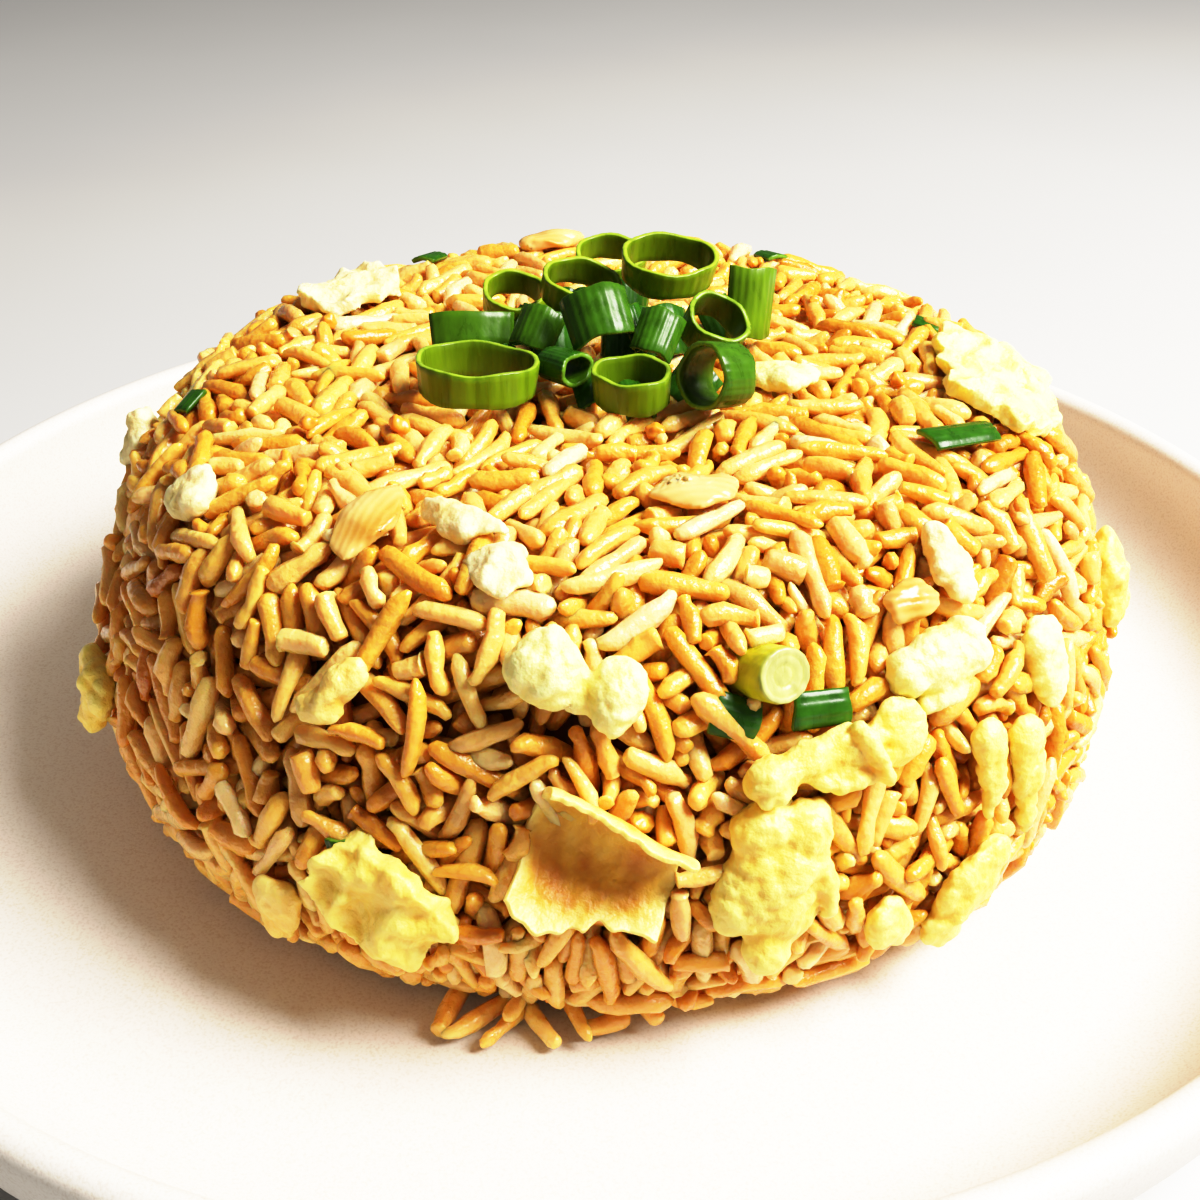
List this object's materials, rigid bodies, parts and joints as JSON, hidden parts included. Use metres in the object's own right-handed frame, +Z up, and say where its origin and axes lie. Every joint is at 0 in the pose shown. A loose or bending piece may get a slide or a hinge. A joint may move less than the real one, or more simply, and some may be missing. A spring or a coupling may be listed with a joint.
{
  "type": "plate of egg fried rice",
  "caption": "Bowl-moulded mound of egg fried rice on a coupe stoneware side plate, topped with a pile of cut spring onion.",
  "frame": {"origin": "middle of the plate's foot ring, on the table", "axes": "+Z up; -Y towards the diner; +X to the diner's right"},
  "size_m": [0.18, 0.18, 0.0609],
  "materials": {
    "stoneware": "satin matte warm off-white glaze with fine speckle",
    "rice": "cooked long grain rice, oiled and stained by soy sauce",
    "egg": "soft scrambled egg, pale yellow, browned in places",
    "onion": "fried onion, translucent and striped",
    "spring_onion": "fresh green leaf, waxy outside, paler inside"
  },
  "bodies": {
    "root": {"egg_curd_back": "egg", "egg_curd_back_low": "egg", "egg_curd_far_right": "egg", "egg_curd_foot_right": "egg", "egg_curd_front": "egg", "egg_curd_left": "egg", "egg_curd_low_back_left": "egg", "egg_curd_low_left": "egg", "egg_curd_pale_left": "egg", "egg_curd_right": "egg", "egg_curd_side_left": "egg", "egg_curd_side_right": "egg", "egg_curd_top": "egg", "egg_double_middle": "egg", "egg_flake_middle": "egg", "egg_flake_pale": "egg", "egg_fold_back_left": "egg", "egg_fold_front": "egg", "egg_fold_left": "egg", "egg_fold_side_right": "egg", "egg_petal_right_lower": "egg", "egg_petal_right_top": "egg", "egg_petal_right_upper": "egg", "egg_sheet_back": "egg", "egg_sheet_low_left": "egg", "egg_sheet_top_left": "egg", "egg_sheet_top_right": "egg", "egg_skin_curl": "egg", "egg_skin_side_left": "egg", "egg_slab_low_right": "egg", "onion_strip_back": "onion", "onion_strip_left": "onion", "onion_strip_right": "onion", "onion_strip_top": "onion", "plate": "stoneware", "rice": "rice", "spring_onion_leaf_in_shoulder": "spring_onion", "spring_onion_leaf_left": "spring_onion", "spring_onion_leaf_middle": "spring_onion", "spring_onion_leaf_middle_left": "spring_onion", "spring_onion_leaf_middle_right": "spring_onion", "spring_onion_leaf_right": "spring_onion", "spring_onion_ring_back_far": "spring_onion", "spring_onion_ring_back_high": "spring_onion", "spring_onion_ring_back_left": "spring_onion", "spring_onion_ring_back_middle": "spring_onion", "spring_onion_ring_front_left": "spring_onion", "spring_onion_ring_front_middle": "spring_onion", "spring_onion_ring_front_right": "spring_onion", "spring_onion_stem_in_side": "spring_onion", "spring_onion_ring_right": "spring_onion", "spring_onion_tube_front": "spring_onion"}
  },
  "joints": []
}
